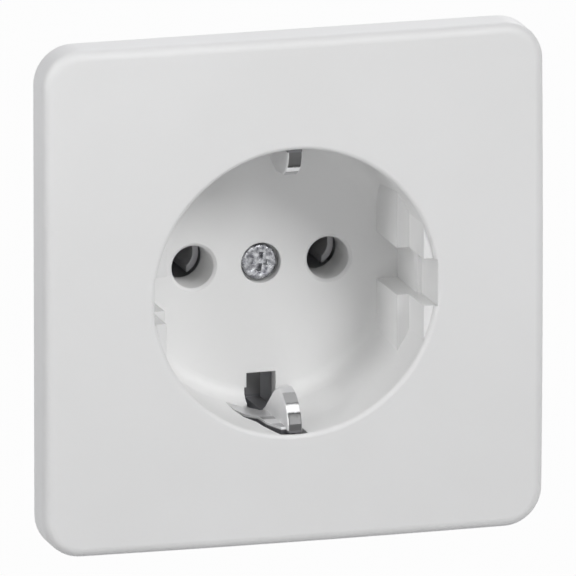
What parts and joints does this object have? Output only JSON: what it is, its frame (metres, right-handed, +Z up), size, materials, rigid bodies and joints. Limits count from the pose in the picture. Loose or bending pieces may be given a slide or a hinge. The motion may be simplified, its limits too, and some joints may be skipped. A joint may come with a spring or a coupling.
{
  "type": "type f wall socket",
  "caption": "Flush-mounted white wall socket: square cover with round recess, two pin holes, side earth fingers, steel support plate, base with terminals and expanding claws.",
  "frame": {"origin": "on the recess axis in the wall plane, which is the rear face of the support plate", "axes": "+X to the right seen from the front, +Z up, -Y towards the viewer"},
  "size_m": [0.07, 0.0388, 0.07],
  "materials": {
    "cover_white": "satin gloss",
    "base_grey": "moulded thermoset",
    "retainer_clear": "punched sheet",
    "plated_steel": "zinc plated",
    "earth_metal": "nickel plated",
    "contact_brass": "drawn"
  },
  "bodies": {
    "socket": {"cover": "cover_white", "centre_screw": "plated_steel", "screw_retainer": "retainer_clear", "support_plate": "plated_steel", "plate_rivet_lower_left": "plated_steel", "plate_rivet_lower_right": "plated_steel", "plate_rivet_upper_left": "plated_steel", "plate_rivet_upper_right": "plated_steel", "base_housing": "base_grey", "contact_lid": "base_grey", "lid_screw_lower": "plated_steel", "lid_screw_upper": "plated_steel", "earth_bracket": "earth_metal", "centre_bush": "contact_brass", "earth_strap": "contact_brass", "earth_terminal_block": "contact_brass", "earth_screw_left": "plated_steel", "earth_screw_right": "plated_steel", "live_contact_left": "contact_brass", "live_contact_right": "contact_brass", "terminal_block_left": "contact_brass", "terminal_block_right": "contact_brass", "terminal_screw_left_inner": "plated_steel", "terminal_screw_left_outer": "plated_steel", "terminal_screw_right_inner": "plated_steel", "terminal_screw_right_outer": "plated_steel", "claw_pin_left": "plated_steel", "claw_pin_right": "plated_steel"},
    "claw_left": {"claw_left": "plated_steel"},
    "claw_right": {"claw_right": "plated_steel"},
    "claw_screw_left": {"claw_screw_left": "plated_steel"},
    "claw_screw_right": {"claw_screw_right": "plated_steel"}
  },
  "joints": [
    {"name": "claw_screw_left_turn", "type": "hinge", "parent": "socket", "child": "claw_screw_left", "pos_m": [-0.0246, 0, 0], "axis": [0, 1, 0], "range_deg": [0, 1422]},
    {"name": "claw_screw_right_turn", "type": "hinge", "parent": "socket", "child": "claw_screw_right", "pos_m": [0.0246, 0, 0], "axis": [0, 1, 0], "range_deg": [0, 1422]},
    {"name": "claw_left_swing", "type": "hinge", "parent": "socket", "child": "claw_left", "pos_m": [-0.019, 0.0159, 0], "axis": [0, 0, 1], "range_deg": [0, 20]},
    {"name": "claw_right_swing", "type": "hinge", "parent": "socket", "child": "claw_right", "pos_m": [0.019, 0.0159, 0], "axis": [0, 0, -1], "range_deg": [0, 20]}
  ],
  "couplings": [
    {"joint": "claw_left_swing", "follows": "claw_screw_left_turn", "ratio": 0.014065},
    {"joint": "claw_right_swing", "follows": "claw_screw_right_turn", "ratio": 0.014065}
  ]
}
